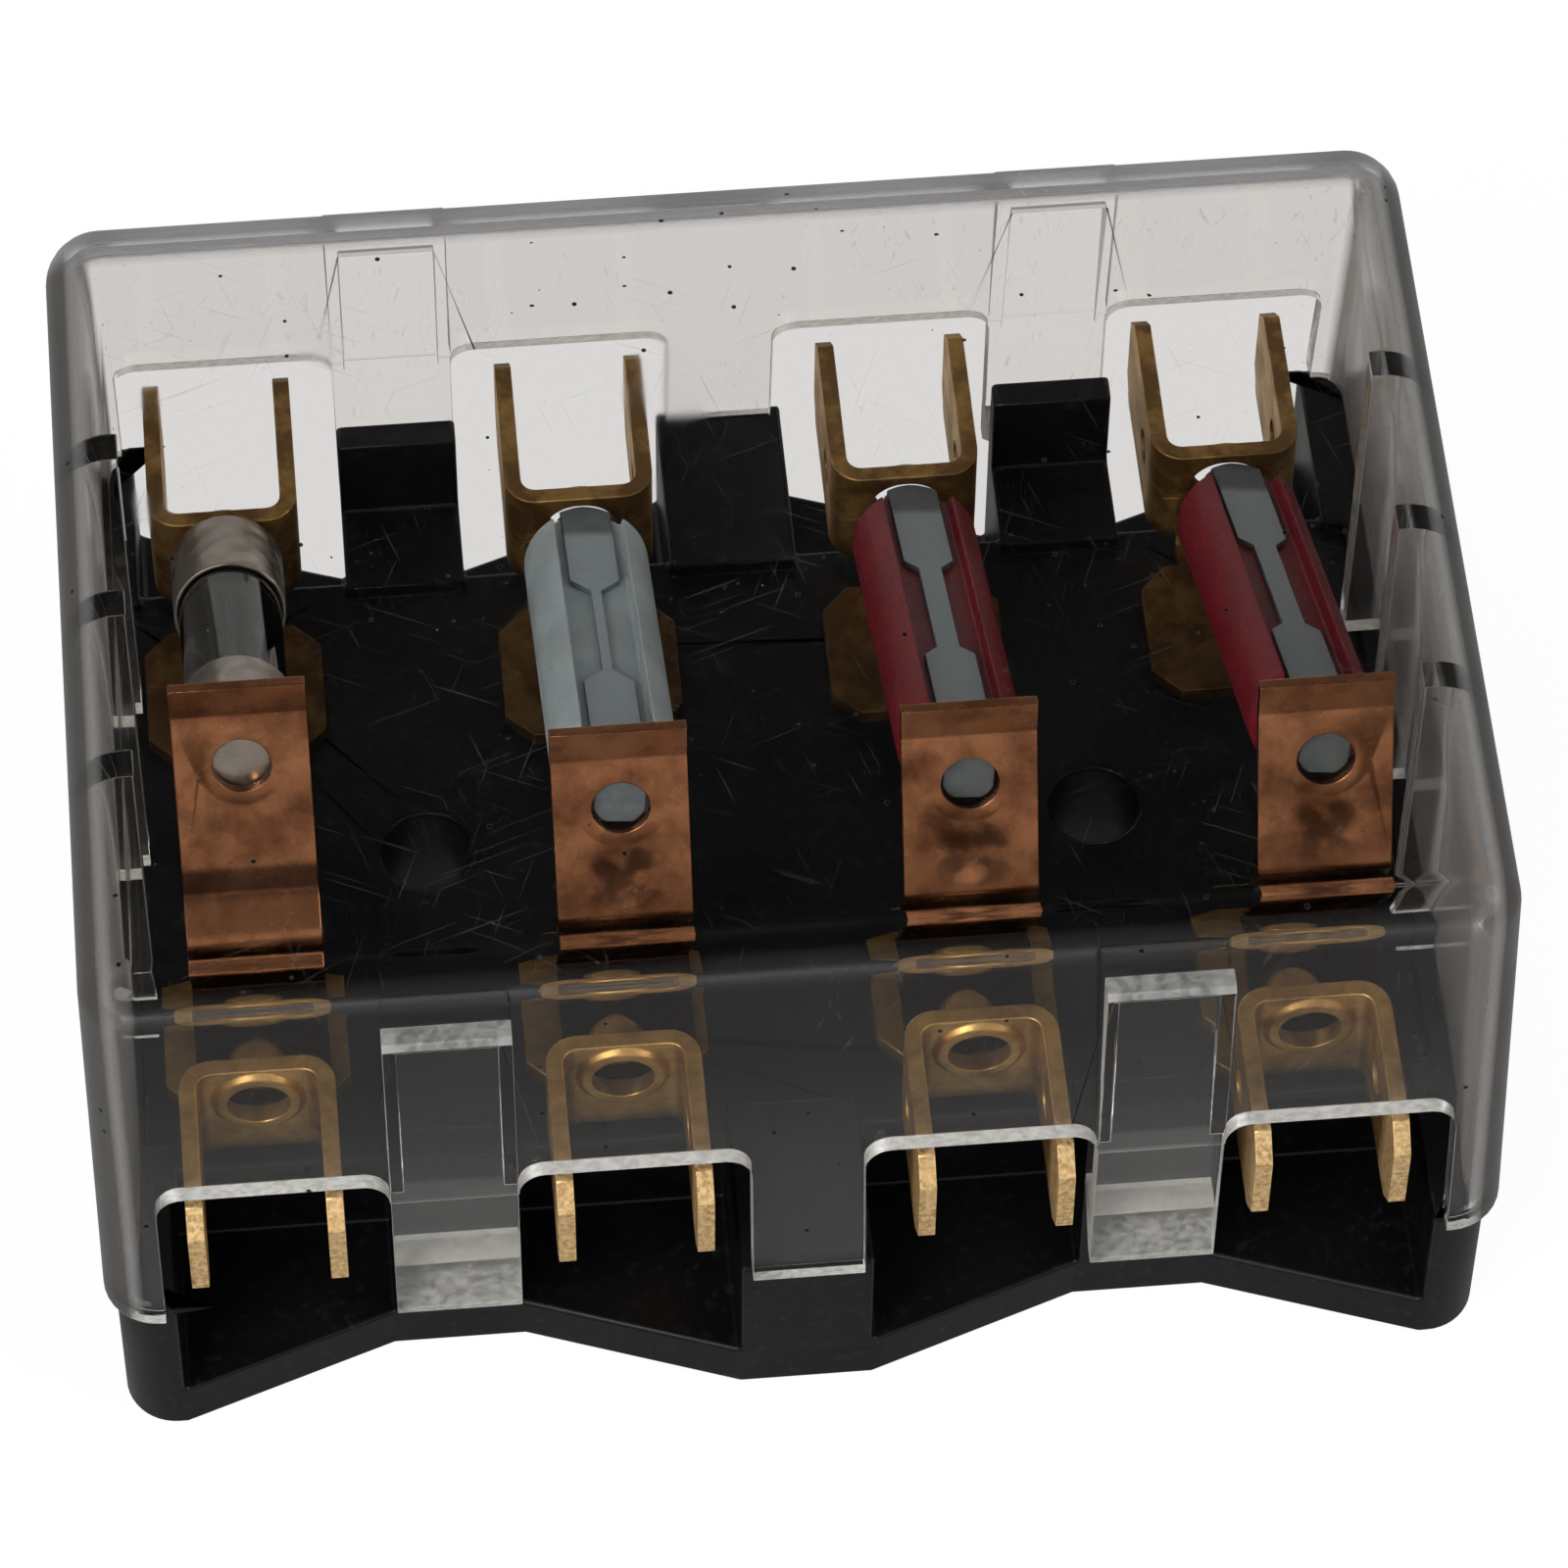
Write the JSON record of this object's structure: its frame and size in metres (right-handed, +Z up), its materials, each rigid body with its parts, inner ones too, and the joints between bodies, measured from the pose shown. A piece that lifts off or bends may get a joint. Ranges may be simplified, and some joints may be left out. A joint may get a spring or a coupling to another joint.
{
  "type": "fuse box",
  "caption": "Black moulded fuse box with blade terminals front and rear, sprung copper contacts, sloping torpedo fuses and a clear clip-on cover.",
  "frame": {"origin": "under the middle of the base, on the surface that it stands on", "axes": "+X along the row of ways, +Y from the spring end of the fuses to their low end, +Z up"},
  "size_m": [0.065, 0.0512, 0.032],
  "materials": {
    "base_plastic": "satin",
    "clear_plastic": "clear, scratched",
    "brass": "aged",
    "copper": "aged",
    "fuse_glass": "clear",
    "nickel": "satin",
    "fuse_metal": "dull",
    "white_ceramic": "satin",
    "red_ceramic": "satin"
  },
  "bodies": {
    "base": {"base": "base_plastic", "rear_terminal_1": "brass", "front_terminal_1": "brass", "contact_spring_1": "copper", "rear_terminal_2": "brass", "front_terminal_2": "brass", "contact_spring_2": "copper", "rear_terminal_3": "brass", "front_terminal_3": "brass", "contact_spring_3": "copper", "rear_terminal_4": "brass", "front_terminal_4": "brass", "contact_spring_4": "copper", "fuse_1_glass": "fuse_glass", "fuse_1_rear_cap": "nickel", "fuse_1_front_cap": "nickel", "fuse_1_wire": "fuse_metal", "fuse_2_body": "white_ceramic", "fuse_3_body": "red_ceramic", "fuse_4_body": "red_ceramic", "front_rivets": "brass", "rear_rivets": "brass", "fuse_2_element": "fuse_metal", "fuse_3_element": "fuse_metal", "fuse_4_element": "fuse_metal"},
    "cover": {"cover": "clear_plastic"}
  },
  "joints": [
    {"name": "cover_lift", "type": "slide", "parent": "base", "child": "cover", "axis": [0, 0, 1], "range_m": [0, 0.035]}
  ]
}
